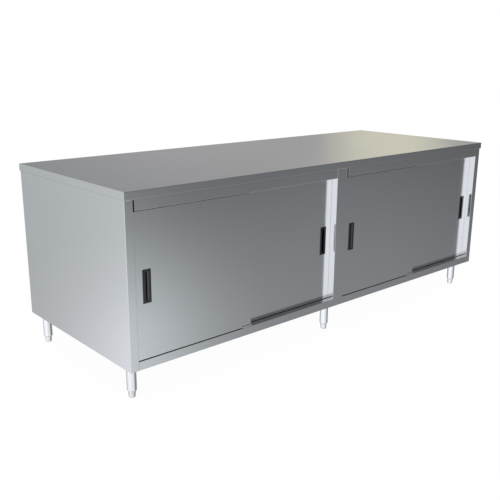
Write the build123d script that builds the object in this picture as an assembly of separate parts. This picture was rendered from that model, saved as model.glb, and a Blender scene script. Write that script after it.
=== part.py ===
from build123d import *
import os

# Cabinet base work table. Millimetres, +Z up, front towards -Y.
# The origin is on the floor, under the centre of the worktop.

# Overall sizes
top_length = 2438.4
top_depth = 914.4
overall_height = 882.65

# Worktop pan
lip_height = 34.1
top_gauge = 1.5
top_return = 10.0
top_inner_bend = 0.4
lip_low_round = 2.4

# How far the cabinet stands inside the worktop's edges
side_inset = 2.1
front_inset = 6.35
back_inset = 5.3

# Cabinet sheet metal
body_gauge = 1.2
body_inner_bend = 0.15
underside_height = 152.4
rail_height = 38.1
rail_return = 15.0
stile_width = 38.1
centre_stile_width = 69.85
centre_stile_jamb_gap = 2.0
panel_flange = 20.0
pan_skirt = 25.0
jamb_return = 15.0

# Channels under the worktop
hat_crown = 46.0
hat_depth = 30.0
hat_flange = 10.0
hat_end_gap = 20.0
rear_hat_inset = 60.0

# Sliding doors
door_gauge = 0.8
door_thickness = 25.0
door_inner_bend = 0.2
door_setback = 3.2
door_gap = 6.5
door_overlap = 50.8
door_end_gap = 0.4
door_bottom_gap = 2.5
door_top_gap = 3.8
inner_skin_flange = 10.0
inner_skin_fit = 0.1
pocket_clearance = 12.0

# Valance over each bay
valance_drop = 43.1
valance_setback = 0.3
valance_left_gap = 2.5
left_valance_right_gap = 8.0
right_valance_right_gap = 4.0
valance_hem = 12.0
valance_hem_end_gap = 8.0
valance_hem_gap = 0.6
valance_inner_bend = 0.24
valance_flange = 9.0

# Recessed pulls
pull_width = 39.1
pull_height = 139.7
pull_edge = 31.5
pull_flange_thickness = 1.5
pull_near_rim = 13.4
pull_far_rim = 11.1
pull_mouth_run = 5.5
pull_mouth_depth = 4.0
pull_depth = 14.5
pull_wall = 1.5
pull_end_rim = 9.5
pull_hole_fit = 0.3
pull_corner_round = 1.5
pull_front_round = 0.8
pull_cover = 5.0

# Overhead track, hangers and rollers
track_gauge = 2.0
track_lip = 8.0
track_top_flange = 44.0
track_end_gap = 30.0
track_lip_round = 0.6
hanger_gauge = 2.0
hanger_inner_bend = 1.0
hanger_width = 44.0
hanger_foot = 16.0
hanger_inset = 75.0
hanger_head = 9.0
track_clearance = 6.4
roller_radius = 11.0
roller_groove_radius = 8.0
roller_groove_width = 3.0
roller_width = 9.0
roller_chamfer = 1.0
roller_side_gap = 1.5
roller_lip_gap = 0.3
axle_radius = 3.0
axle_running_gap = 0.05
axle_head_flats = 10.0
axle_head_height = 3.5
axle_collar_radius = 4.5
axle_collar_length = 1.5
axle_collar_gap = 0.2
stop_length = 12.0
stop_wall = 3.0
stop_rise = 6.0
stop_clearance = 0.5

# Bottom guide at the middle of each bay
guide_length = 57.15
guide_gauge = 1.5
guide_inner_bend = 0.3
guide_rise = 8.1
guide_finger = 2.6
guide_finger_rise = 15.0
guide_finger_round = 0.8
guide_clearance = 1.0

# Legs and feet
leg_radius = 20.65
leg_wall = 1.5
leg_end_height = 33.0
leg_side_inset = 55.4
leg_front_inset = 93.7
leg_back_inset = 53.7
leg_channel_width = 80.0
leg_channel_depth = 18.0
leg_channel_gauge = 2.0
leg_channel_inner_bend = 1.0
leg_channel_end_gap = 6.0
socket_plate = 74.0
socket_corner = 8.0
socket_wall = 3.0
socket_gap = 0.15
socket_drop = 31.0
insert_height = 25.0
stem_radius = 6.0
stem_running_gap = 0.1
stem_length = 60.0
stem_chamfer = 1.5
foot_shoulder_drop = 4.5
foot_neck_flat = 1.0
foot_shoulder_fit = 0.6
foot_shoulder_chamfer = 0.8
foot_neck_radius = 16.2
foot_toe_radius = 14.2
foot_toe_round = 4.0

# Midshelf and its supports
shelf_height = 505.0
shelf_skirt = 32.0
shelf_return = 12.0
shelf_front_gap = 16.0
shelf_back_gap = 4.0
shelf_side_gap = 4.0
pilaster_width = 20.0
pilaster_depth = 5.0
pilaster_bottom_gap = 40.0
pilaster_top_gap = 40.0
pilaster_front_inset = 60.0
pilaster_back_inset = 60.0
slot_width = 6.0
slot_height = 14.0
slot_count = 7
clip_width = 14.0
clip_gauge = 1.8
clip_inner_bend = 0.9
clip_ledge = 15.0
clip_drop = 24.0

# Countersunk fixing screws
screw_radius = 2.5
screw_head_radius = 4.6
screw_head_depth = guide_gauge
screw_head_rim = 0.25
screw_length = 10.0
screw_hole_fit = 0.1
screw_socket_flats = 3.0
screw_socket_depth = 1.0
track_screw_count = 4
track_screw_end = 90.0

# How far a cutting shape reaches past the metal
cut_past = 1.0

# Outer radii of the bends
top_bend = top_gauge + top_inner_bend
body_bend = body_gauge + body_inner_bend
door_bend = door_gauge + door_inner_bend

# Levels
lip_bottom = overall_height - lip_height
pan_underside = overall_height - top_gauge
hat_bottom = pan_underside - hat_depth
rail_top = underside_height + rail_height
floor_underside = rail_top - body_gauge
valance_bottom = lip_bottom - valance_drop
door_bottom = rail_top + door_bottom_gap
door_top = valance_bottom - door_top_gap
door_height = door_top - door_bottom
track_bottom = door_top + hanger_gauge + track_clearance
lip_top = track_bottom + track_lip
roller_height = lip_top + roller_lip_gap + roller_groove_radius

# Planes across the depth
front_y = -top_depth / 2 + front_inset
back_y = top_depth / 2 - back_inset
front_door_y = front_y + door_setback
rear_door_y = front_door_y + door_thickness + door_gap
doors_back_y = rear_door_y + door_thickness
jamb_back_y = doors_back_y + pocket_clearance
track_y = front_door_y + door_thickness + door_gap / 2
run_offset = (door_thickness + door_gap) / 2
inner_back_y = back_y - body_gauge
panel_y = inner_back_y - body_gauge

# Planes along the length
half_body = top_length / 2 - side_inset
inner_wall_x = half_body - body_gauge
bay_outer_x = half_body - stile_width
bay_inner_x = centre_stile_width / 2
bay_width = bay_outer_x - bay_inner_x
post_half = bay_inner_x - body_gauge
door_width = bay_width / 2 + door_overlap / 2 - door_end_gap
bays = {"left": -bay_outer_x, "right": bay_inner_x}
valance_right_gaps = {"left": left_valance_right_gap, "right": right_valance_right_gap}

# The track stops end the travel while each pull is still clear of the other door
pull_clear = pull_edge + pull_width + pull_cover
door_travel = bay_width - 2 * door_end_gap - door_width - pull_clear

leg_places = {
    "front_left": (-top_length / 2 + leg_side_inset, -top_depth / 2 + leg_front_inset),
    "front_centre": (0.0, -top_depth / 2 + leg_front_inset),
    "front_right": (top_length / 2 - leg_side_inset, -top_depth / 2 + leg_front_inset),
    "rear_left": (-top_length / 2 + leg_side_inset, top_depth / 2 - leg_back_inset),
    "rear_centre": (0.0, top_depth / 2 - leg_back_inset),
    "rear_right": (top_length / 2 - leg_side_inset, top_depth / 2 - leg_back_inset),
}


# A box given by its low and high corners
def block(low, high):
    size = [b - a for a, b in zip(low, high)]
    middle = [(a + b) / 2 for a, b in zip(low, high)]
    return Pos(*middle) * Box(*size)


# An upright cylinder from one level to another
def post(x, y, radius, low, high):
    return Pos(x, y, (low + high) / 2) * Cylinder(radius, high - low)


# A cylinder along Y
def cross_pin(x, z, radius, low, high):
    return Pos(x, (low + high) / 2, z) * Rot(90, 0, 0) * Cylinder(radius, high - low)


# The line a gauge to the left of a line of points, with its corners mitred
def beside(points, gauge):
    normals = []
    for (x1, y1), (x2, y2) in zip(points, points[1:]):
        run = ((x2 - x1) ** 2 + (y2 - y1) ** 2) ** 0.5
        normals.append(((y1 - y2) / run, (x2 - x1) / run))
    normals = [normals[0]] + normals + [normals[-1]]
    line = []
    for (x, y), before, after in zip(points, normals, normals[1:]):
        spread = gauge / (1 + before[0] * after[0] + before[1] * after[1])
        line.append((x + spread * (before[0] + after[0]), y + spread * (before[1] + after[1])))
    return line


# Which way a line of points turns at each of its inner points: positive to the left
def turns(points):
    found = []
    for (x1, y1), (x2, y2), (x3, y3) in zip(points, points[1:], points[2:]):
        found.append((x2 - x1) * (y3 - y2) - (y2 - y1) * (x3 - x2))
    return found


# Sheet folded along a line of points, with round bends.
# The metal lies on the left of the line, or on the right with a negative gauge.
def folded_face(points, gauge, bend):
    other = beside(points, gauge)
    face = make_face(Polyline(*points, *reversed(other), close=True))
    outside = []
    inside = []
    for near, far, turn in zip(points[1:-1], other[1:-1], turns(points)):
        wraps = turn * gauge > 0
        outside.append(near if wraps else far)
        inside.append(far if wraps else near)
    face = fillet([corner(face, place) for place in outside], bend)
    return fillet([corner(face, place) for place in inside], bend - abs(gauge))


def corner(face, place):
    return face.vertices().sort_by_distance(place)[0]


# A fold drawn in plan and run upwards
def upright_fold(points, gauge, bend, low, high):
    return Pos(0, 0, low) * extrude(folded_face(points, gauge, bend), high - low)


# A fold drawn in the Y and Z plane and run along X
def long_fold(points, gauge, bend, low, high):
    profile = Plane.YZ * folded_face(points, gauge, bend)
    return Pos(low, 0, 0) * extrude(profile, high - low)


# A pan with its face up at z = 0, open below, with rounded folds at the top edges
def pan(length, width, depth, gauge, bend):
    outer = Box(length, width, depth, align=(Align.CENTER, Align.CENTER, Align.MAX))
    outer = fillet(outer.edges().group_by(Axis.Z)[-1], bend)
    inner = Box(
        length - 2 * gauge, width - 2 * gauge, depth - gauge, align=(Align.CENTER, Align.CENTER, Align.MAX)
    )
    inner = fillet(inner.edges().group_by(Axis.Z)[-1], bend - gauge)
    return outer - Pos(0, 0, -gauge) * inner


# A flat frame, one gauge thick, that turns a pan's edges inwards at its bottom
def inward_return(length, width, depth, gauge, reach):
    frame = Box(length, width, gauge) - Box(length - 2 * reach, width - 2 * reach, gauge)
    return Pos(0, 0, -depth + gauge / 2) * frame


def worktop():
    top = pan(top_length, top_depth, lip_height, top_gauge, top_bend)
    top += inward_return(top_length, top_depth, lip_height, top_gauge, top_return)
    low_edges = top.edges().filter_by(Axis.Z, reverse=True).group_by(Axis.Z)[0]
    outer = [e for e in low_edges if is_outer_edge(e, top_length, top_depth)]
    top = fillet(outer, lip_low_round)
    return Pos(0, 0, overall_height) * top


# True for an edge that lies on the outline of a length by width rectangle
def is_outer_edge(edge, length, width):
    middle = edge.center()
    nearness = 0.01
    return abs(abs(middle.X) - length / 2) < nearness or abs(abs(middle.Y) - width / 2) < nearness


# Hat channels that stiffen the worktop; the front one also carries the tracks
def worktop_hats():
    half = top_length / 2 - hat_end_gap
    crown = hat_crown / 2
    foot = crown + hat_flange
    flange_level = pan_underside - body_gauge
    hats = []
    for y in (track_y, (track_y + top_depth / 2 - rear_hat_inset) / 2, top_depth / 2 - rear_hat_inset):
        points = [
            (y - foot, flange_level),
            (y - crown, flange_level),
            (y - crown, hat_bottom),
            (y + crown, hat_bottom),
            (y + crown, flange_level),
            (y + foot, flange_level),
        ]
        hats.append(long_fold(points, body_gauge, body_bend, -half, half))
    return hats


# A side panel with its stile, jamb and rear flange folded from one sheet
def side_panel(hand):
    wall = hand * half_body
    stile = hand * bay_outer_x
    points = [
        (wall - hand * panel_flange, back_y),
        (wall, back_y),
        (wall, front_y),
        (stile, front_y),
        (stile, jamb_back_y),
        (stile + hand * jamb_return, jamb_back_y),
    ]
    sheet = upright_fold(points, -hand * body_gauge, body_bend, underside_height, lip_bottom)
    near = hand * (half_body - body_gauge)
    far = hand * (half_body - panel_flange)
    flange_x = sorted((near, far))
    for level in (underside_height, lip_bottom - body_gauge):
        low = (flange_x[0], jamb_back_y + body_gauge, level)
        high = (flange_x[1], panel_y, level + body_gauge)
        sheet += block(low, high)
    return sheet - jamb_notch(hand)


# Below the floor the jamb is cut away, so that the leg channels can pass behind the stile
def jamb_notch(hand):
    inner, outer = sorted((hand * (bay_outer_x - cut_past), hand * (inner_wall_x - cut_past)))
    front = front_y + body_gauge
    back = jamb_back_y + body_gauge
    return block((inner, front, underside_height - cut_past), (outer, back, floor_underside))


# The back panel lies inside the side panels' rear flanges and turns forward at top and bottom
def back_panel():
    points = [
        (panel_y - panel_flange, lip_bottom),
        (panel_y + body_gauge, lip_bottom),
        (panel_y + body_gauge, underside_height),
        (panel_y - panel_flange, underside_height),
    ]
    half = inner_wall_x - panel_flange - body_gauge
    middle = long_fold(points, -body_gauge, body_bend, -half, half)
    reach = inner_wall_x - body_bend
    low = (-reach, panel_y, underside_height + body_bend)
    high = (reach, panel_y + body_gauge, lip_bottom - body_bend)
    return middle + block(low, high)


# The wall between the two bays, with flanges at both ends
def centre_partition():
    half = body_gauge / 2
    points = [
        (half - panel_flange, jamb_back_y),
        (half, jamb_back_y),
        (half, panel_y),
        (half - panel_flange, panel_y),
    ]
    return upright_fold(points, body_gauge, body_bend, rail_top, lip_bottom - body_bend)


# A folded box post between the bays, which forms a jamb for the doors on both sides
def centre_post():
    front = front_y + body_gauge
    points = [
        (-body_gauge, jamb_back_y),
        (-post_half, jamb_back_y),
        (-post_half, front),
        (post_half, front),
        (post_half, jamb_back_y),
        (body_gauge, jamb_back_y),
    ]
    return upright_fold(points, body_gauge, body_bend, rail_top, lip_bottom)


# The cap over the centre post; its deep returns line the doors' way in on both sides
def centre_stile():
    back = jamb_back_y - centre_stile_jamb_gap
    points = [(-bay_inner_x, back), (-bay_inner_x, front_y), (bay_inner_x, front_y), (bay_inner_x, back)]
    return upright_fold(points, body_gauge, body_bend, rail_top, lip_bottom)


# The cabinet floor; its front edge turns down and back to make the bottom rail
def floor_pan():
    skirt_bottom = floor_underside - pan_skirt
    profile = [
        (front_y + rail_return, underside_height),
        (front_y, underside_height),
        (front_y, rail_top),
        (panel_y, rail_top),
        (panel_y, skirt_bottom),
    ]
    floor = long_fold(profile, -body_gauge, body_bend, -bay_outer_x, bay_outer_x)
    wing_points = [(bay_outer_x - body_bend, rail_top), (inner_wall_x, rail_top), (inner_wall_x, skirt_bottom)]
    wing = Plane.XZ * folded_face(wing_points, -body_gauge, body_bend)
    wing = Pos(0, panel_y, 0) * extrude(wing, panel_y - jamb_back_y - body_gauge)
    return floor + wing + mirror(wing, about=Plane.YZ)


# A strip hemmed at the bottom; the hem stops short of the strip's ends
def valance(bay):
    low = bays[bay] + valance_left_gap
    high = bays[bay] + bay_width - valance_right_gaps[bay]
    face = -top_depth / 2 + valance_setback
    hem_back = face + 2 * body_gauge + valance_hem_gap
    points = [
        (face, lip_bottom),
        (face, valance_bottom),
        (hem_back, valance_bottom),
        (hem_back, valance_bottom + valance_hem),
    ]
    strip = long_fold(points, body_gauge, body_gauge + valance_inner_bend, low, high)
    strip += block((low, face, lip_bottom - body_gauge), (high, face + valance_flange, lip_bottom))
    hem_low = valance_bottom - cut_past
    hem_high = valance_bottom + valance_hem + cut_past
    ends = [(low - cut_past, low + valance_hem_end_gap), (high - valance_hem_end_gap, high + cut_past)]
    for start, end in ends:
        strip -= block((start, face + body_gauge, hem_low), (end, hem_back + cut_past, hem_high))
    return strip


# Double track: one web between the doors, with an upturned lip under each line of rollers
def track(bay):
    low = bays[bay] + track_end_gap
    high = bays[bay] + bay_width - track_end_gap
    half = track_gauge / 2
    reach = run_offset + half
    floor_top = track_bottom + track_gauge
    section = block((low, track_y - reach, track_bottom), (high, track_y + reach, floor_top))
    section += block((low, track_y - half, track_bottom), (high, track_y + half, hat_bottom))
    flange = track_top_flange / 2
    section += block((low, track_y - flange, hat_bottom - track_gauge), (high, track_y + flange, hat_bottom))
    for side in (-1, 1):
        lip_y = track_y + side * run_offset
        lip = block((low, lip_y - half, track_bottom), (high, lip_y + half, lip_top))
        crown = lip.edges().filter_by(Axis.X).group_by(Axis.Z)[-1]
        section += fillet(crown, track_lip_round)
    for x, y in track_screw_places(bay):
        section -= standing(screw_body(screw_hole_fit), x, y, hat_bottom - track_gauge, -1)
    return section


def track_screw_places(bay):
    start = bays[bay] + track_screw_end
    pitch = (bay_width - 2 * track_screw_end) / (track_screw_count - 1)
    side = track_top_flange / 4 + track_gauge / 2
    return [(start + i * pitch, track_y + (side if i % 2 else -side)) for i in range(track_screw_count)]


def guide_screw_places(bay):
    centre = bays[bay] + bay_width / 2
    return [(centre, front_door_y + door_thickness / 2), (centre, rear_door_y + door_thickness / 2)]


# A countersunk head with its shank below the plane z = 0, grown all round by the given amount
def screw_body(grown):
    head = screw_head_radius + grown
    shank = screw_radius + grown
    outline = [
        (0, 0),
        (head, 0),
        (head, -screw_head_rim),
        (shank, -screw_head_depth),
        (shank, -screw_length),
        (0, -screw_length),
    ]
    return revolve(Plane.XZ * make_face(Polyline(*outline, close=True)), Axis.Z)


# A shape drawn at the origin moved to a place and level; direction -1 turns it head down
def standing(shape, x, y, level, direction):
    turn = 0 if direction > 0 else 180
    return Pos(x, y, level) * Rot(turn, 0, 0) * shape


# The screw has a hexagon socket in its head
def fixing_screws():
    socket = extrude(RegularPolygon(screw_socket_flats / 2, 6, major_radius=False), -screw_socket_depth)
    screw = screw_body(0) - socket
    screws = []
    for bay in bays:
        for x, y in guide_screw_places(bay):
            screws.append(standing(screw, x, y, rail_top + guide_gauge, 1))
        for x, y in track_screw_places(bay):
            screws.append(standing(screw, x, y, hat_bottom - track_gauge, -1))
    return screws


# Stops at both ends of both runs of each track, astride the upturned lip
def track_stops():
    stops = []
    for bay in bays:
        left = bays[bay] + door_end_gap
        right = bays[bay] + bay_width - door_end_gap
        reach = roller_radius + stop_clearance
        first = left + hanger_inset
        last = left + door_width - hanger_inset
        stops += [stop(first - reach - stop_length, -1), stop(last + door_travel + reach, -1)]
        first = right - hanger_inset
        last = right - door_width + hanger_inset
        stops += [stop(first + reach, 1), stop(last - door_travel - reach - stop_length, 1)]
    return stops


def stop(low, run):
    centre = track_y + run * run_offset
    half = track_gauge / 2 + stop_wall
    high = low + stop_length
    saddle = block(
        (low, centre - half, track_bottom + track_gauge), (high, centre + half, lip_top + stop_rise)
    )
    saddle = fillet(saddle.edges().filter_by(Axis.X).group_by(Axis.Z)[-1], stop_wall / 2)
    lip = track_gauge / 2
    return saddle - block((low, centre - lip, track_bottom), (high, centre + lip, lip_top))


# Bottom guide: a folded base with a leg in front, a finger between the doors and a leg behind
def centre_guide(bay):
    centre = bays[bay] + bay_width / 2
    low = centre - guide_length / 2
    high = centre + guide_length / 2
    rear = doors_back_y + guide_clearance
    top = rail_top + guide_rise
    points = [(front_y, top), (front_y, rail_top), (rear + guide_gauge, rail_top), (rear + guide_gauge, top)]
    guide = long_fold(points, guide_gauge, guide_gauge + guide_inner_bend, low, high)
    finger = block(
        (low, track_y - guide_finger / 2, rail_top + guide_gauge / 2),
        (high, track_y + guide_finger / 2, rail_top + guide_finger_rise),
    )
    crown = finger.edges().filter_by(Axis.X).group_by(Axis.Z)[-1]
    guide += fillet(crown, guide_finger_round)
    for x, y in guide_screw_places(bay):
        guide -= standing(screw_body(screw_hole_fit), x, y, rail_top + guide_gauge, 1)
    return guide


# Holes for the guide screws in the cabinet floor
def drilled_floor():
    hole = screw_radius + screw_hole_fit
    floor = floor_pan()
    for bay in bays:
        for x, y in guide_screw_places(bay):
            floor -= post(x, y, hole, floor_underside - cut_past, rail_top + cut_past)
    return floor


# Holes for the track screws in the front hat
def drilled_hats():
    hole = screw_radius + screw_hole_fit
    hats = worktop_hats()
    for bay in bays:
        for x, y in track_screw_places(bay):
            hats[0] -= post(x, y, hole, hat_bottom - cut_past, hat_bottom + body_gauge + cut_past)
    return hats


# The outer skin is a deep pan; its hole takes the cup of the pull
def door_outer_skin(door):
    skin = pan(door_width, door_height, door_thickness, door_gauge, door_bend)
    skin = door_frame(door) * skin
    fit = pull_hole_fit
    low, high = cup_span(door)
    cut = block(
        (low - fit, door["face"] - cut_past, pull_centre_z() - cup_half_height() - fit),
        (high + fit, door["face"] + door_gauge + cut_past, pull_centre_z() + cup_half_height() + fit),
    )
    return skin - cut


# The inner skin is a shallow pan that closes the back of the outer one
def door_inner_skin(door):
    length = door_width - 2 * door_gauge - 2 * inner_skin_fit
    height = door_height - 2 * door_gauge - 2 * inner_skin_fit
    skin = pan(length, height, inner_skin_flange, door_gauge, door_bend)
    middle = Pos(door["left"] + door_width / 2, doors_back(door), (door_bottom + door_top) / 2)
    return middle * Rot(-90, 0, 0) * skin


def doors_back(door):
    return door["face"] + door_thickness


# Where a pan drawn face up stands when it becomes a door facing forward
def door_frame(door):
    return Pos(door["left"] + door_width / 2, door["face"], (door_bottom + door_top) / 2) * Rot(90, 0, 0)


def pull_centre_z():
    return (door_bottom + door_top) / 2


def cup_half_height():
    return pull_height / 2 - pull_end_rim + pull_wall


# The pull's outer edges: near its door's closing edge
def pull_span(door):
    if door["front"]:
        low = door["left"] + pull_edge
    else:
        low = door["left"] + door_width - pull_edge - pull_width
    return low, low + pull_width


# The finger recess: its near side, towards the door's closing edge, and its far side
def recess_sides(door):
    low, high = pull_span(door)
    if door["front"]:
        return low + pull_near_rim, high - pull_far_rim
    return high - pull_near_rim, low + pull_far_rim


# The hidden cup's outer sides, one wall outside the finger recess
def cup_span(door):
    low, high = sorted(recess_sides(door))
    return low - pull_wall, high + pull_wall


# A moulded pull: a thin rim on the door's face and a cup with a bevelled mouth on its far side
def door_pull(door):
    low, high = pull_span(door)
    face = door["face"]
    front = face - pull_flange_thickness
    centre = pull_centre_z()
    rim = block((low, front, centre - pull_height / 2), (high, face, centre + pull_height / 2))
    rim = fillet(rim.edges().filter_by(Axis.Y), pull_corner_round)
    rim = fillet(rim.edges().group_by(Axis.Y)[0], pull_front_round)
    cup_low, cup_high = cup_span(door)
    cup_half = cup_half_height()
    cup_back = face + pull_depth + pull_wall
    cup = block((cup_low, face, centre - cup_half), (cup_high, cup_back, centre + cup_half))
    return rim + cup - finger_recess(door)


# The recess drawn in plan: a narrow deep slot, with a bevel that leads the fingers in
def finger_recess(door):
    near, far = recess_sides(door)
    mouth = door["face"] - pull_flange_thickness
    floor = door["face"] + pull_depth
    out = mouth - cut_past
    slot = far - pull_mouth_run if near < far else far + pull_mouth_run
    points = [
        (near, out),
        (near, floor),
        (slot, floor),
        (slot, mouth + pull_mouth_depth),
        (far, mouth),
        (far, out),
    ]
    half = cup_half_height() - pull_wall
    recess = extrude(make_face(Polyline(*points, close=True)), 2 * half)
    return Pos(0, 0, pull_centre_z() - half) * recess


# Along Y, the hanger plate is on the outer side of its rollers: -1 in front, 1 behind
def hanger_side(door):
    return -1 if door["front"] else 1


def run_y(door):
    return door["face"] + door_thickness / 2


def hanger_plate_y(door):
    return run_y(door) + hanger_side(door) * (roller_width / 2 + roller_side_gap)


def hanger_centres(door):
    return [door["left"] + hanger_inset, door["left"] + door_width - hanger_inset]


# Angle bracket on the door's top edge, with the hole for its axle bolt
def hanger(door, x):
    side = hanger_side(door)
    inner = hanger_plate_y(door)
    outer = inner + side * hanger_gauge
    half = hanger_width / 2
    points = [
        (outer - side * (hanger_foot + hanger_gauge), door_top),
        (outer, door_top),
        (outer, roller_height + hanger_head),
    ]
    bracket = long_fold(points, side * hanger_gauge, hanger_gauge + hanger_inner_bend, x - half, x + half)
    corners = bracket.edges().filter_by(Axis.Y).group_by(Axis.Z)[-1]
    bracket = fillet(corners, hanger_head)
    return bracket - cross_pin(x, roller_height, axle_radius, *sorted((inner, outer)))


# Shoulder bolt with a hexagon head outside the plate and a riveted collar past the roller
def axle_bolt(door, x):
    side = hanger_side(door)
    outer = hanger_plate_y(door) + side * hanger_gauge
    far_face = run_y(door) - side * (roller_width / 2 + axle_collar_gap)
    head_end = outer + side * axle_head_height
    collar_end = far_face - side * axle_collar_length
    shank = cross_pin(x, roller_height, axle_radius, *sorted((outer, collar_end)))
    head = extrude(RegularPolygon(axle_head_flats / 2, 6, major_radius=False), axle_head_height)
    head = Pos(x, min(outer, head_end) + axle_head_height, roller_height) * Rot(90, 0, 0) * head
    collar = cross_pin(x, roller_height, axle_collar_radius, *sorted((far_face, collar_end)))
    return shank + head + collar


def door_hangers(door):
    parts = []
    for x in hanger_centres(door):
        parts += [hanger(door, x), axle_bolt(door, x)]
    return parts


# Nylon sheave with a groove that rides on the track's lip
def roller(door, x):
    half = roller_width / 2
    throat = roller_groove_width / 2
    bore = axle_radius + axle_running_gap
    chamfer = roller_chamfer
    outline = [
        (bore, -half),
        (roller_radius - chamfer, -half),
        (roller_radius, -half + chamfer),
        (roller_radius, -throat - chamfer),
        (roller_groove_radius, -throat),
        (roller_groove_radius, throat),
        (roller_radius, throat + chamfer),
        (roller_radius, half - chamfer),
        (roller_radius - chamfer, half),
        (bore, half),
    ]
    sheave = revolve(Plane.XZ * make_face(Polyline(*outline, close=True)), Axis.Z)
    return Pos(x, run_y(door), roller_height) * Rot(90, 0, 0) * sheave


def leg_tube(x, y):
    top = floor_underside - leg_channel_gauge - socket_wall
    return post(x, y, leg_radius, leg_end_height, top) - post(
        x, y, leg_radius - leg_wall, leg_end_height, top
    )


# Channels across the depth under the floor; the leg sockets are welded inside them
def leg_channels():
    channels = []
    half = leg_channel_width / 2
    web = floor_underside
    for x in (leg_places["front_left"][0], 0.0, leg_places["front_right"][0]):
        points = [
            (x - half, web - leg_channel_depth),
            (x - half, web),
            (x + half, web),
            (x + half, web - leg_channel_depth),
        ]
        bend = leg_channel_gauge + leg_channel_inner_bend
        profile = Plane.XZ * folded_face(points, -leg_channel_gauge, bend)
        low = front_y + body_gauge + leg_channel_end_gap
        high = panel_y - body_gauge - leg_channel_end_gap
        channels.append(Pos(0, high, 0) * extrude(profile, high - low))
    return channels


# Flange plate with a sleeve around the leg
def leg_sockets():
    sockets = []
    plate_top = floor_underside - leg_channel_gauge
    plate_low = plate_top - socket_wall
    inner = leg_radius + socket_gap
    for x, y in leg_places.values():
        plate = Pos(x, y, (plate_top + plate_low) / 2) * Box(socket_plate, socket_plate, socket_wall)
        plate = fillet(plate.edges().filter_by(Axis.Z), socket_corner)
        sleeve = post(x, y, inner + socket_wall, plate_low - socket_drop, plate_low)
        sockets.append(plate + sleeve - post(x, y, inner, plate_low - socket_drop, plate_low))
    return sockets


# Threaded plugs pressed into the legs' lower ends
def leg_inserts():
    inserts = []
    for x, y in leg_places.values():
        plug = post(x, y, leg_radius - leg_wall, leg_end_height, leg_end_height + insert_height)
        bore = post(x, y, stem_radius + stem_running_gap, leg_end_height, leg_end_height + insert_height)
        inserts.append(plug - bore)
    return inserts


# Bullet foot with its shoulder under the leg and a stem that screws into the insert
def foot(x, y):
    shoulder = leg_end_height - foot_shoulder_drop
    low = foot_toe_radius - foot_toe_round
    rim = leg_radius - foot_shoulder_fit
    stem_top = leg_end_height + stem_length
    profile = BuildSketch(Plane.XZ)
    with profile:
        with BuildLine():
            Polyline(
                (foot_toe_radius, foot_toe_round),
                (foot_neck_radius, shoulder - foot_neck_flat),
                (foot_neck_radius, shoulder),
                (rim, leg_end_height - foot_shoulder_chamfer),
                (rim - foot_shoulder_chamfer, leg_end_height),
                (stem_radius, leg_end_height),
                (stem_radius, stem_top - stem_chamfer),
                (stem_radius - stem_chamfer, stem_top),
                (0, stem_top),
                (0, 0),
                (low, 0),
            )
            RadiusArc((low, 0), (foot_toe_radius, foot_toe_round), -foot_toe_round)
        make_face()
    return Pos(x, y, 0) * revolve(profile.sketch, Axis.Z)


# A midshelf pan with its edges turned down and in
def midshelf(bay):
    outer_wall = inner_wall_x - pilaster_depth - shelf_side_gap
    inner_wall = body_gauge / 2 + pilaster_depth + shelf_side_gap
    length = outer_wall - inner_wall
    front = jamb_back_y + shelf_front_gap
    back = panel_y - shelf_back_gap
    shelf = pan(length, back - front, shelf_skirt, body_gauge, body_bend)
    shelf += inward_return(length, back - front, shelf_skirt, body_gauge, shelf_return)
    centre = (outer_wall + inner_wall) / 2 * (-1 if bay == "left" else 1)
    return Pos(centre, (front + back) / 2, shelf_height) * shelf


# Wall faces that carry pilasters: x of the face and the direction into the bay
def pilaster_walls():
    half = body_gauge / 2
    return [(-inner_wall_x, 1), (-half, -1), (half, 1), (inner_wall_x, -1)]


def pilaster_rows():
    return [jamb_back_y + pilaster_front_inset, panel_y - pilaster_back_inset]


def slot_levels():
    low = rail_top + pilaster_bottom_gap
    high = lip_bottom - pilaster_top_gap
    pitch = (high - low) / slot_count
    return [low + (i + 0.5) * pitch for i in range(slot_count)]


# Slotted channels on the walls of both bays
def shelf_pilasters():
    strips = []
    low = rail_top + pilaster_bottom_gap
    high = lip_bottom - pilaster_top_gap
    half = pilaster_width / 2
    for x, way in pilaster_walls():
        for y in pilaster_rows():
            outer = x + way * pilaster_depth
            points = [(x, y - half), (outer, y - half), (outer, y + half), (x, y + half)]
            strip = upright_fold(points, way * body_gauge, body_bend, low, high)
            inside, outside = sorted((outer - way * (body_gauge + cut_past), outer + way * cut_past))
            for z in slot_levels():
                strip -= block(
                    (inside, y - slot_width / 2, z - slot_height / 2),
                    (outside, y + slot_width / 2, z + slot_height / 2),
                )
            strips.append(strip)
    return strips


# Bent clips; each lies on a pilaster's face and holds the shelf's turned edge on its ledge
def shelf_clips():
    clips = []
    ledge = shelf_height - shelf_skirt
    for x, way in pilaster_walls():
        face = x + way * pilaster_depth
        end = face + way * (shelf_side_gap + clip_ledge)
        for y in pilaster_rows():
            points = [(end, ledge), (face, ledge), (face, ledge - clip_drop)]
            profile = Plane.XZ * folded_face(points, way * clip_gauge, clip_gauge + clip_inner_bend)
            clips.append(Pos(0, y + clip_width / 2, 0) * extrude(profile, clip_width))
    return clips


# Every door: where its left edge and face are, and whether it runs in front
def door_rows():
    rows = {}
    for bay, start in bays.items():
        rows[bay + "_front_door"] = {"left": start + door_end_gap, "face": front_door_y, "front": True}
        rear_left = start + bay_width - door_end_gap - door_width
        rows[bay + "_rear_door"] = {"left": rear_left, "face": rear_door_y, "front": False}
    return rows


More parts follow.
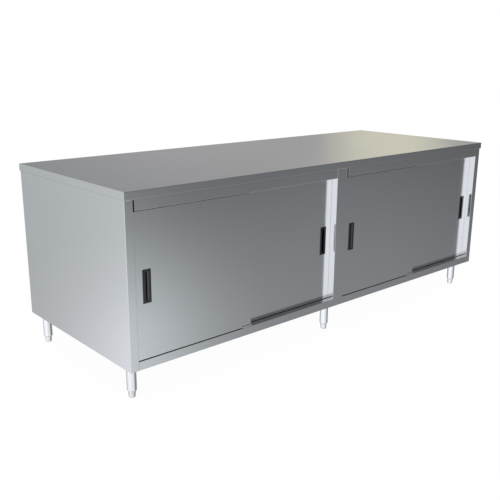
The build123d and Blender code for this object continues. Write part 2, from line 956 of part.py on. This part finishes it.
def build_parts():
    parts = {
        "worktop": worktop(),
        "worktop_hats": drilled_hats(),
        "side_panel_left": side_panel(-1),
        "side_panel_right": side_panel(1),
        "back_panel": back_panel(),
        "centre_partition": centre_partition(),
        "centre_post": centre_post(),
        "centre_stile": centre_stile(),
        "floor_pan": drilled_floor(),
        "leg_channels": leg_channels(),
        "leg_sockets": leg_sockets(),
        "leg_inserts": leg_inserts(),
        "track_stops": track_stops(),
        "fixing_screws": fixing_screws(),
        "shelf_pilasters": shelf_pilasters(),
        "shelf_clips": shelf_clips(),
    }
    for name, (x, y) in leg_places.items():
        parts["leg_" + name] = leg_tube(x, y)
        parts["foot_" + name] = foot(x, y)
    for bay in bays:
        parts[bay + "_valance"] = valance(bay)
        parts[bay + "_track"] = track(bay)
        parts[bay + "_centre_guide"] = centre_guide(bay)
        parts[bay + "_midshelf"] = midshelf(bay)
    for name, door in door_rows().items():
        parts[name + "_outer_skin"] = door_outer_skin(door)
        parts[name + "_inner_skin"] = door_inner_skin(door)
        parts[name + "_pull"] = door_pull(door)
        parts[name + "_hangers"] = door_hangers(door)
        for side, x in zip(("left", "right"), hanger_centres(door)):
            parts[name + "_roller_" + side] = roller(door, x)
    return parts


os.makedirs("parts", exist_ok=True)
for node, shape in build_parts().items():
    solid = Compound(children=list(shape)) if isinstance(shape, list) else shape
    export_step(solid, os.path.join("parts", node + ".step"))
    print(node)
print("door travel", door_travel, "roller radius", roller_groove_radius)
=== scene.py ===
import math
import bpy
from mathutils import Matrix, Vector

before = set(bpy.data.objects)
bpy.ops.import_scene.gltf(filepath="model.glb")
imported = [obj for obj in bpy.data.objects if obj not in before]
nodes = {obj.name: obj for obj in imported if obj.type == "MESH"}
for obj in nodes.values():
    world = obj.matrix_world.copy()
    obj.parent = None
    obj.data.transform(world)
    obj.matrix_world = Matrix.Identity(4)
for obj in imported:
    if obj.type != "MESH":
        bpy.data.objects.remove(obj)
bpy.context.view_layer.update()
scene = bpy.context.scene
scene.view_settings.view_transform = "Standard"
print("frame loaded:", len(nodes), "nodes")


# camera: a 50 mm lens, 1.37 m above the floor, off the front left corner
cameraLook = {
    "place": (-2.5345, -2.6410, 1.3665),
    "azimuth": 41.302,    # from +Y towards +X
    "down": 15.611,
    "roll": 0.347,
    "lens": 49.983,
    "sensor": 36,
    "shift": (0.00585, 0.00007),
}


def addCamera(look):
    turn = math.radians(look["azimuth"])
    dip = math.radians(look["down"])
    forward = Vector((math.sin(turn) * math.cos(dip), math.cos(turn) * math.cos(dip), -math.sin(dip)))
    side = forward.cross(Vector((0, 0, 1))).normalized()
    upward = side.cross(forward)
    lean = Matrix.Rotation(math.radians(-look["roll"]), 3, forward)
    side, upward = lean @ side, lean @ upward
    axes = Matrix((side, upward, -forward)).transposed()
    data = bpy.data.cameras.new("camera")
    data.sensor_width = look["sensor"]
    data.lens = look["lens"]
    data.shift_x, data.shift_y = look["shift"]
    camera = bpy.data.objects.new("camera", data)
    camera.matrix_world = Matrix.Translation(look["place"]) @ axes.to_4x4()
    scene.collection.objects.link(camera)
    scene.camera = camera


addCamera(cameraLook)
print("camera ready")


# small helpers for node trees
def addNode(tree, kind, **settings):
    node = tree.nodes.new(kind)
    for name, value in settings.items():
        setattr(node, name, value)
    return node


# a socket is linked and a value is set, and None leaves the input alone
def plug(tree, socket, value):
    if value is None:
        return
    if isinstance(value, bpy.types.NodeSocket):
        tree.links.new(value, socket)
    else:
        socket.default_value = value


def mathNode(tree, operation, first, second=None):
    node = addNode(tree, "ShaderNodeMath", operation=operation)
    plug(tree, node.inputs[0], first)
    plug(tree, node.inputs[1], second)
    return node.outputs[0]


# two values added, each times its share
def blendTwo(tree, first, second, shares):
    firstPart = mathNode(tree, "MULTIPLY", first, shares[0])
    secondPart = mathNode(tree, "MULTIPLY", second, shares[1])
    return mathNode(tree, "ADD", firstPart, secondPart)


def mixColour(tree, factor, first, second):
    node = addNode(tree, "ShaderNodeMix", data_type="RGBA")
    plug(tree, node.inputs[0], factor)
    plug(tree, node.inputs[6], first)
    plug(tree, node.inputs[7], second)
    return node.outputs[2]


def remap(tree, value, low, high, start=0.0, end=1.0):
    node = addNode(tree, "ShaderNodeMapRange")
    plug(tree, node.inputs[0], value)
    node.inputs[1].default_value = start
    node.inputs[2].default_value = end
    node.inputs[3].default_value = low
    node.inputs[4].default_value = high
    return node.outputs[0]


def grey(level):
    return (level, level, level, 1)


# studio: white for the camera, a plain white fill, and soft lights that only reflections show
studio = {
    "floorSize": 60.0,
    "floorPaleness": 0.8,    # where the floor lights the table from below
    "floorGlow": 1.01,       # where the floor is seen, before its shade is taken off
    "floorShade": 0.05,      # how much of that white can be lost to shadow
    "fill": 0.9,             # plain light that falls on all surfaces
    "ambient": 0.005,        # least glow in a reflection
    "ground": 0.25,          # glow of the ground, straight below
    "groundFall": 3.0,       # how fast that glow fades towards the horizon
    # strength, tightness, azimuth from +Y towards +X, height, colour
    "softLights": [
        (0.730, 22.30, 164.3, -28.5, (0.96, 1.03, 1.04)),
        (0.750, 5.04, -139.0, -11.4, (1.03, 1.045, 1.11)),
        (0.172, 35.40, 129.2, -17.1, (0.94, 0.965, 1.035)),
        (0.297, 204.00, 149.0, -22.4, (0.93, 0.99, 1.05)),
        (0.488, 130.00, -35.6, -25.1, (0.94, 0.96, 1.05)),
        (0.296, 33.74, 36.7, -0.8, (1.051, 0.985, 1.029)),
        (0.598, 1.97, -47.3, 46.5, (0.979, 1.06, 1.06)),
        (0.655, 58.96, 56.9, 19.1, (1.054, 0.999, 0.94)),
        (0.250, 42.00, -166.8, -26.2, (1.02, 1.04, 1.07)),
        (0.723, 3.05, -76.5, -19.3, (1.04, 1.06, 1.09)),
        (0.077, 23.70, 124.0, 30.0, (1, 1, 1)),
        (0.150, 9.00, 87.0, -20.0, (1, 1, 1)),
        (0.150, 7.00, 55.0, -34.0, (1, 1, 1)),
        (0.260, 30.00, 142.0, 52.0, (1, 1, 1)),
        (0.500, 14.00, 97.0, -54.0, (1, 1, 1)),
    ],
    # the cream patch that the worktop reflects: half its width and half its rise, in degrees
    "window": {
        "azimuth": 52.6,
        "height": 6.0,
        "width": 4.2,
        "rise": 3.4,
        "sidePower": 2.0,      # a higher power makes the edge squarer
        "topPower": 4.0,
        "fade": (0.3, 1.8),    # from full glow to none
        "colour": (0.335, 0.318, 0.166),
    },
}


def aim(azimuth, height):
    turn = math.radians(azimuth)
    rise = math.radians(height)
    return (math.sin(turn) * math.cos(rise), math.cos(turn) * math.cos(rise), math.sin(rise))


# glow plus a colour times an amount
def addTinted(tree, glow, tint, amount):
    scaled = addNode(tree, "ShaderNodeVectorMath", operation="SCALE")
    scaled.inputs[0].default_value = tint
    tree.links.new(amount, scaled.inputs["Scale"])
    total = addNode(tree, "ShaderNodeVectorMath", operation="ADD")
    tree.links.new(glow, total.inputs[0])
    tree.links.new(scaled.outputs[0], total.inputs[1])
    return total.outputs[0]


# how much of the window shows: 1 at its middle and 0 beyond its faded edge
def windowMask(tree, pane, split):
    bearing = mathNode(tree, "ARCTAN2", split.outputs["X"], split.outputs["Y"])
    aside = mathNode(tree, "SUBTRACT", bearing, math.radians(pane["azimuth"]))
    across = mathNode(tree, "DIVIDE", aside, math.radians(pane["width"]))
    above = mathNode(tree, "SUBTRACT", split.outputs["Z"], math.sin(math.radians(pane["height"])))
    along = mathNode(tree, "DIVIDE", above, math.radians(pane["rise"]))
    side = mathNode(tree, "POWER", mathNode(tree, "ABSOLUTE", across), pane["sidePower"])
    top = mathNode(tree, "POWER", mathNode(tree, "ABSOLUTE", along), pane["topPower"])
    full, none = pane["fade"]
    return remap(tree, mathNode(tree, "ADD", side, top), 1.0, 0.0, full, none)


def addWorld(look):
    world = bpy.data.worlds.new("studio")
    scene.world = world
    world.use_nodes = True
    tree = world.node_tree
    tree.nodes.clear()
    output = addNode(tree, "ShaderNodeOutputWorld")
    direction = addNode(tree, "ShaderNodeTexCoord").outputs["Generated"]
    split = addNode(tree, "ShaderNodeSeparateXYZ")
    tree.links.new(direction, split.inputs[0])
    below = mathNode(tree, "MAXIMUM", mathNode(tree, "MULTIPLY", split.outputs["Z"], -1.0), 0.0)
    ground = mathNode(tree, "MULTIPLY", mathNode(tree, "POWER", below, look["groundFall"]), look["ground"])
    level = mathNode(tree, "ADD", ground, look["ambient"])
    glow = mixColour(tree, 1.0, grey(0), level)
    for strength, tightness, azimuth, height, tint in look["softLights"]:
        dot = addNode(tree, "ShaderNodeVectorMath", operation="DOT_PRODUCT")
        tree.links.new(direction, dot.inputs[0])
        dot.inputs[1].default_value = aim(azimuth, height)
        fall = mathNode(tree, "MULTIPLY", mathNode(tree, "SUBTRACT", dot.outputs["Value"], 1.0), tightness)
        lobe = mathNode(tree, "MULTIPLY", mathNode(tree, "EXPONENT", fall), strength)
        glow = addTinted(tree, glow, tint, lobe)
    pane = look["window"]
    glow = addTinted(tree, glow, pane["colour"], windowMask(tree, pane, split))
    path = addNode(tree, "ShaderNodeLightPath")
    shown = mathNode(tree, "MAXIMUM", path.outputs["Is Camera Ray"], path.outputs["Is Transmission Ray"])
    seen = mixColour(tree, path.outputs["Is Glossy Ray"], grey(look["fill"]), glow)
    colour = mixColour(tree, shown, seen, grey(1))
    background = addNode(tree, "ShaderNodeBackground")
    tree.links.new(colour, background.inputs["Color"])
    background.inputs["Strength"].default_value = 1.0
    tree.links.new(background.outputs[0], output.inputs["Surface"])


def addFloor(look):
    bpy.ops.mesh.primitive_plane_add(size=look["floorSize"])
    floor = bpy.context.object
    floor.name = "floor"
    floor.visible_glossy = False
    material = bpy.data.materials.new("paleFloor")
    material.use_nodes = True
    tree = material.node_tree
    tree.nodes.clear()
    output = addNode(tree, "ShaderNodeOutputMaterial")
    path = addNode(tree, "ShaderNodeLightPath")
    shown = mathNode(tree, "MAXIMUM", path.outputs["Is Camera Ray"], path.outputs["Is Glossy Ray"])
    shown = mathNode(tree, "MAXIMUM", shown, path.outputs["Is Transmission Ray"])
    lit = addNode(tree, "ShaderNodeBsdfDiffuse")
    shade = look["floorShade"]
    pale = mixColour(tree, shown, grey(look["floorPaleness"]), grey(shade / look["fill"]))
    plug(tree, lit.inputs["Color"], pale)
    glow = addNode(tree, "ShaderNodeEmission")
    plug(tree, glow.inputs["Strength"], mathNode(tree, "MULTIPLY", shown, look["floorGlow"] - shade))
    both = addNode(tree, "ShaderNodeAddShader")
    tree.links.new(lit.outputs[0], both.inputs[0])
    tree.links.new(glow.outputs[0], both.inputs[1])
    tree.links.new(both.outputs[0], output.inputs["Surface"])
    floor.data.materials.append(material)


addWorld(studio)
addFloor(studio)
print("studio ready")


# shared effects, each a group that the materials place with their own values
def newGroup(name, inputs, outputs):
    group = bpy.data.node_groups.new(name, "ShaderNodeTree")
    for title, kind, value in inputs:
        socket = group.interface.new_socket(title, in_out="INPUT", socket_type=kind)
        socket.default_value = value
    for title in outputs:
        group.interface.new_socket(title, in_out="OUTPUT", socket_type="NodeSocketFloat")
    return group, group.nodes.new("NodeGroupInput"), group.nodes.new("NodeGroupOutput")


def noise(tree, vector, scale, detail, roughness):
    node = addNode(tree, "ShaderNodeTexNoise")
    tree.links.new(vector, node.inputs["Vector"])
    plug(tree, node.inputs["Scale"], scale)
    node.inputs["Detail"].default_value = detail
    node.inputs["Roughness"].default_value = roughness
    return node.outputs["Fac"]


# brushing: fine scratches and broader bands, long in the directions whose stretch is small
brushingLook = {
    "fine": (1.0, 3.0, 0.6),      # scale, detail, roughness
    "broad": (0.23, 2.0, 0.5),
    "shares": (0.6, 0.4),         # of the fine and the broad
    "middle": 0.5,                # the level that the contrast grows from
    # where a new material starts: each metal below sets its own
    "stretch": (8.0, 900.0, 900.0),
    "contrast": 1.0,
}


def makeBrushing(look):
    group, start, end = newGroup(
        "brushing",
        [
            ("Stretch", "NodeSocketVector", look["stretch"]),
            ("Contrast", "NodeSocketFloat", look["contrast"]),
        ],
        ["Scratches", "Height"],
    )
    place = addNode(group, "ShaderNodeTexCoord").outputs["Object"]
    scaled = addNode(group, "ShaderNodeVectorMath", operation="MULTIPLY")
    group.links.new(place, scaled.inputs[0])
    group.links.new(start.outputs["Stretch"], scaled.inputs[1])
    fine = noise(group, scaled.outputs[0], *look["fine"])
    broad = noise(group, scaled.outputs[0], *look["broad"])
    both = blendTwo(group, fine, broad, look["shares"])
    centred = mathNode(group, "SUBTRACT", both, look["middle"])
    strong = mathNode(group, "MULTIPLY", centred, start.outputs["Contrast"])
    level = mathNode(group, "ADD", strong, look["middle"])
    group.links.new(level, end.inputs["Scratches"])
    group.links.new(both, end.inputs["Height"])
    return group


# handling: broad faint clouds where hands and cloths have been
handlingLook = {
    "detail": 4.0,
    "roughness": 0.55,
    "span": (0.3, 0.7),    # the noise levels that become 0 and 1
    "scale": 3.0,          # where a new material starts: each finish below sets its own
}


def makeHandling(look):
    group, start, end = newGroup("handling", [("Scale", "NodeSocketFloat", look["scale"])], ["Clouds"])
    place = addNode(group, "ShaderNodeTexCoord").outputs["Object"]
    clouds = noise(group, place, start.outputs["Scale"], look["detail"], look["roughness"])
    lowest, highest = look["span"]
    group.links.new(remap(group, clouds, 0.0, 1.0, lowest, highest), end.inputs["Clouds"])
    return group


brushing = makeBrushing(brushingLook)
handling = makeHandling(handlingLook)
print("shared effects ready")


def newMaterial(name):
    material = bpy.data.materials.new(name)
    material.use_nodes = True
    tree = material.node_tree
    return material, tree, tree.nodes["Principled BSDF"]


def placeGroup(tree, group, **values):
    node = addNode(tree, "ShaderNodeGroup", node_tree=group)
    for name, value in values.items():
        node.inputs[name].default_value = value
    return node


def addBump(tree, shader, height, look):
    bump = addNode(tree, "ShaderNodeBump")
    bump.inputs["Strength"].default_value = look["bump"]
    bump.inputs["Distance"].default_value = look["bumpDepth"]
    tree.links.new(height, bump.inputs["Height"])
    tree.links.new(bump.outputs[0], shader.inputs["Normal"])


# brushed or turned metal, with its marks along the directions whose stretch is small
def steelMaterial(name, look):
    material, tree, shader = newMaterial(name)
    grain = placeGroup(tree, brushing, Stretch=look["stretch"], Contrast=look["contrast"])
    clouds = placeGroup(tree, handling, Scale=look["cloudScale"])
    dark = tuple(part * look["dark"] for part in look["colour"]) + (1,)
    pale = tuple(min(1.0, part * look["pale"]) for part in look["colour"]) + (1,)
    plug(tree, shader.inputs["Base Color"], mixColour(tree, grain.outputs["Scratches"], dark, pale))
    shader.inputs["Metallic"].default_value = 1.0
    low, high = look["roughness"]
    blend = blendTwo(tree, grain.outputs["Scratches"], clouds.outputs["Clouds"], look["shares"])
    plug(tree, shader.inputs["Roughness"], remap(tree, blend, low, high))
    addBump(tree, shader, grain.outputs["Height"], look)
    return material


sheetSteel = {
    "colour": (0.85, 0.857, 0.867),
    "dark": 0.94,              # the colour is multiplied by these, between the scratches and on them
    "pale": 1.05,
    "contrast": 1.0,
    "cloudScale": 2.5,
    "roughness": (0.14, 0.22),
    "shares": (0.6, 0.4),      # of the scratches and the clouds in the roughness
    "bump": 0.12,
    "bumpDepth": 0.0001,
}
# what each metal has of its own; the rest is as on the sheet
metalLooks = {
    "brushedSteelAlong": {"stretch": (6.0, 900.0, 900.0)},
    "brushedSteelAcross": {"stretch": (900.0, 6.0, 900.0)},
    "brushedSteelUpright": {"stretch": (900.0, 900.0, 6.0)},
    "dullInnerSteel": {
        "stretch": (5.0, 700.0, 700.0),
        "roughness": (0.4, 0.5),
    },
    "legTubeSteel": {
        "stretch": (700.0, 700.0, 12.0),
        "colour": (0.93, 0.93, 0.935),
        "roughness": (0.08, 0.13),
    },
    "turnedFootSteel": {
        "stretch": (60.0, 60.0, 1500.0),
        "colour": (0.93, 0.93, 0.935),
        "roughness": (0.1, 0.16),
    },
    "turnedSteel": {
        "stretch": (60.0, 60.0, 1500.0),
        "colour": (0.8, 0.8, 0.81),
        "roughness": (0.2, 0.3),
    },
    "millAluminium": {
        "stretch": (4.0, 1200.0, 1200.0),
        "colour": (0.82, 0.825, 0.83),
        "roughness": (0.3, 0.42),
    },
}
finishes = {name: steelMaterial(name, {**sheetSteel, **own}) for name, own in metalLooks.items()}


# moulded plastics and rubber
def mouldedMaterial(name, look):
    material, tree, shader = newMaterial(name)
    place = addNode(tree, "ShaderNodeTexCoord").outputs["Object"]
    grain = noise(tree, place, look["grainScale"], look["grainDetail"], look["grainRoughness"])
    clouds = placeGroup(tree, handling, Scale=look["cloudScale"])
    dark = tuple(part * look["dark"] for part in look["colour"]) + (1,)
    pale = look["colour"] + (1,)
    plug(tree, shader.inputs["Base Color"], mixColour(tree, clouds.outputs["Clouds"], dark, pale))
    shader.inputs["Specular IOR Level"].default_value = look["gloss"]
    low, high = look["roughness"]
    plug(tree, shader.inputs["Roughness"], remap(tree, clouds.outputs["Clouds"], low, high))
    addBump(tree, shader, grain, look)
    return material


mouldedBase = {
    "gloss": 0.5,
    "dark": 0.85,    # the colour is multiplied by this where the clouds are thin
    "grainDetail": 2.0,
    "grainRoughness": 0.5,
    "cloudScale": 30.0,
    "bumpDepth": 0.0002,
}
mouldedLooks = {
    "blackPullPlastic": {
        "colour": (0.003, 0.0035, 0.0065),
        "gloss": 0.9,
        "grainScale": 1800.0,
        "roughness": (0.13, 0.2),
        "bump": 0.12,
    },
    "whiteNylon": {
        "colour": (0.82, 0.8, 0.75),
        "grainScale": 900.0,
        "cloudScale": 40.0,
        "roughness": (0.35, 0.5),
        "bump": 0.15,
    },
    "blackRubber": {
        "colour": (0.02, 0.02, 0.02),
        "grainScale": 1200.0,
        "roughness": (0.7, 0.85),
        "bump": 0.4,
    },
}
for name, own in mouldedLooks.items():
    finishes[name] = mouldedMaterial(name, {**mouldedBase, **own})
print("materials ready:", len(finishes))


# words in a piece's name that tell how its sheet is brushed: up and down, front to back, or dull inside
upright = ("centre_post", "centre_stile", "_outer_skin")
across = ("side_panel", "leg_channels")
dull = (
    "back_panel",
    "centre_partition",
    "_midshelf",
    "shelf_pilasters",
    "shelf_clips",
    "_inner_skin",
    "worktop_hats",
)


def finishFor(name):
    if name.endswith("_pull"):
        return "blackPullPlastic"
    if "_roller_" in name:
        return "whiteNylon"
    if name == "track_stops":
        return "blackRubber"
    if name.endswith("_track"):
        return "millAluminium"
    if name.startswith("leg_") and name not in ("leg_channels", "leg_sockets", "leg_inserts"):
        return "legTubeSteel"
    if name.startswith("foot_"):
        return "turnedFootSteel"
    if name.endswith("_hangers") or name in ("leg_inserts", "fixing_screws"):
        return "turnedSteel"
    if any(word in name for word in dull):
        return "dullInnerSteel"
    if any(word in name for word in upright):
        return "brushedSteelUpright"
    if any(word in name for word in across):
        return "brushedSteelAcross"
    return "brushedSteelAlong"


for name, piece in nodes.items():
    finish = finishes[finishFor(name)]
    if not piece.material_slots:
        piece.data.materials.append(finish)
    for slot in piece.material_slots:
        slot.material = finish
print("frame dressed")
